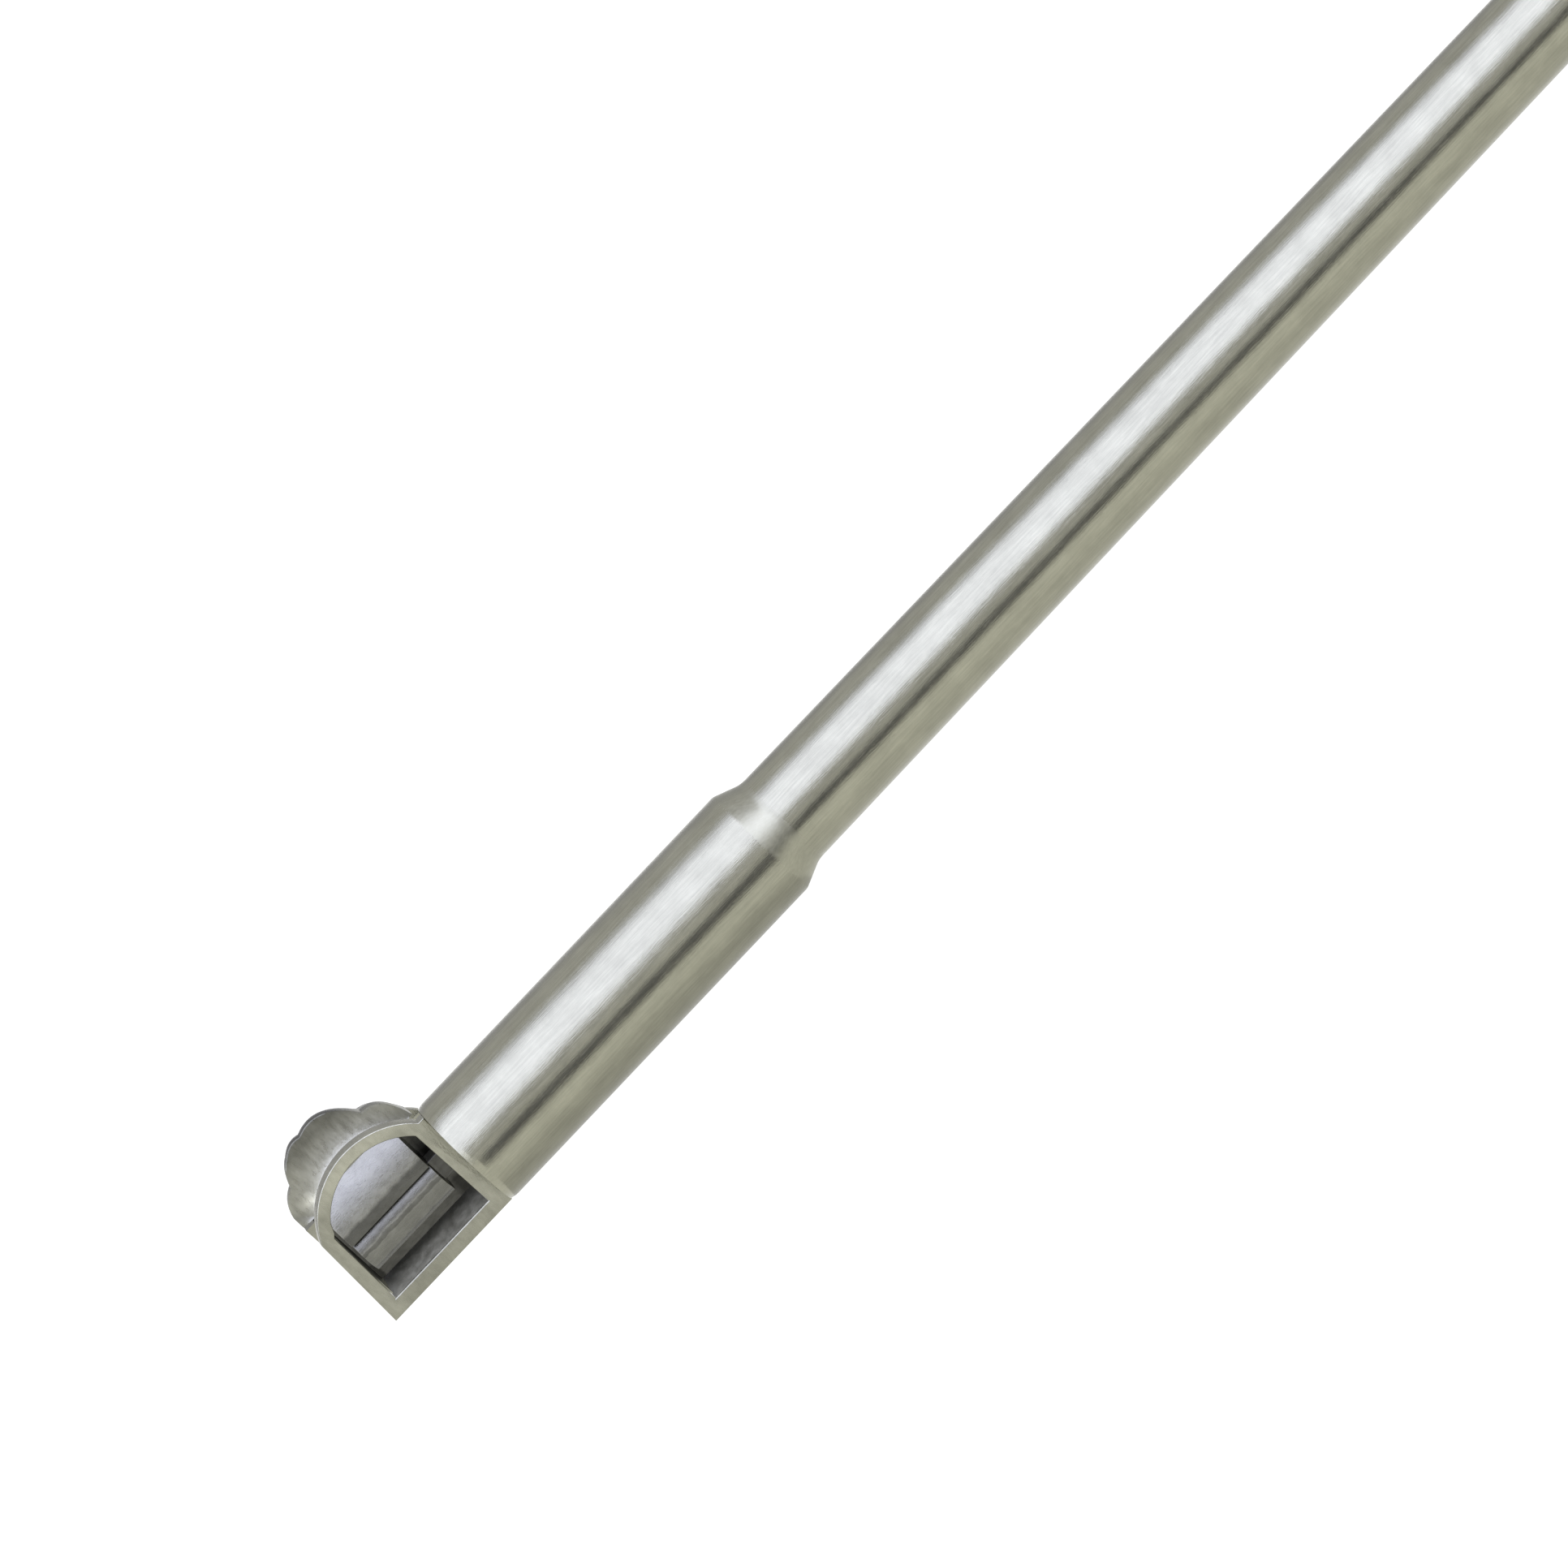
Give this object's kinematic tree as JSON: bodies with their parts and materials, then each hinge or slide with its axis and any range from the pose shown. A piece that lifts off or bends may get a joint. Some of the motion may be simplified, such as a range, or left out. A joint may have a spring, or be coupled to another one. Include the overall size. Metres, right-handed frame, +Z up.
{
  "type": "inoculating loop",
  "caption": "Inoculating loop with a tapered metal handle, a lobed thumb slide in an arched head at the butt, and a sprung jaw chuck holding a wire loop.",
  "frame": {"origin": "on the head's flat underside, below the handle's axis and midway along the head", "axes": "+X along the handle from the head towards the wire loop, +Z up out of the underside, -Y towards the side with the open window"},
  "size_m": [0.2413, 0.006, 0.0092],
  "materials": {
    "satin_nickel": "satin, brushed along the handle",
    "polished_steel": "ground",
    "screw_steel": "turned",
    "brass": "turned",
    "spring_steel": "drawn",
    "nichrome_wire": "drawn, heat darkened at the ring"
  },
  "bodies": {
    "handle": {"head_frame": "satin_nickel", "back_cover": "satin_nickel", "head_pin": "polished_steel", "handle_tube": "satin_nickel", "spring_seat": "brass", "guide_bush_rear": "brass", "guide_bush_front": "brass", "nose_sleeve": "satin_nickel", "return_spring": "spring_steel", "cover_screw_1": "screw_steel", "cover_screw_2": "screw_steel", "cover_screw_3": "screw_steel", "cover_screw_4": "screw_steel"},
    "plunger": {"thumb_slide": "satin_nickel", "slider_block": "polished_steel", "drive_disc": "brass", "tang_screw": "screw_steel", "rod_nut": "brass", "draw_rod": "polished_steel", "collet_body": "brass", "slide_screw_1": "screw_steel", "slide_screw_2": "screw_steel"},
    "jaw_1": {"collet_jaw_1": "polished_steel"},
    "jaw_2": {"collet_jaw_2": "polished_steel"},
    "jaw_3": {"collet_jaw_3": "polished_steel"},
    "loop": {"loop_shank": "polished_steel", "wire_ferrule": "polished_steel", "loop_wire": "nichrome_wire"}
  },
  "joints": [
    {"name": "thumb_slide_push", "type": "slide", "parent": "handle", "child": "plunger", "axis": [1, 0, 0], "range_m": [0, 0.0006], "stiffness_N_per_m": 600, "springref_m": -0.0025, "deforming": ["return_spring"]},
    {"name": "jaw_1_hinge", "type": "hinge", "parent": "plunger", "child": "jaw_1", "pos_m": [0.16735, 0.0011, 0.003], "axis": [0, 0, 1], "range_deg": [0, 0.9]},
    {"name": "jaw_2_hinge", "type": "hinge", "parent": "plunger", "child": "jaw_2", "pos_m": [0.16735, -0.00055, 0.00395], "axis": [0, -0.866, -0.5], "range_deg": [0, 0.9]},
    {"name": "jaw_3_hinge", "type": "hinge", "parent": "plunger", "child": "jaw_3", "pos_m": [0.16735, -0.00055, 0.00205], "axis": [0, 0.866, -0.5], "range_deg": [0, 0.9]},
    {"name": "loop_pull", "type": "slide", "parent": "plunger", "child": "loop", "axis": [1, 0, 0], "range_m": [0, 0.01]}
  ],
  "couplings": [
    {"joint": "jaw_1_hinge", "follows": "thumb_slide_push", "rad_per_m": 25},
    {"joint": "jaw_2_hinge", "follows": "thumb_slide_push", "rad_per_m": 25},
    {"joint": "jaw_3_hinge", "follows": "thumb_slide_push", "rad_per_m": 25}
  ]
}
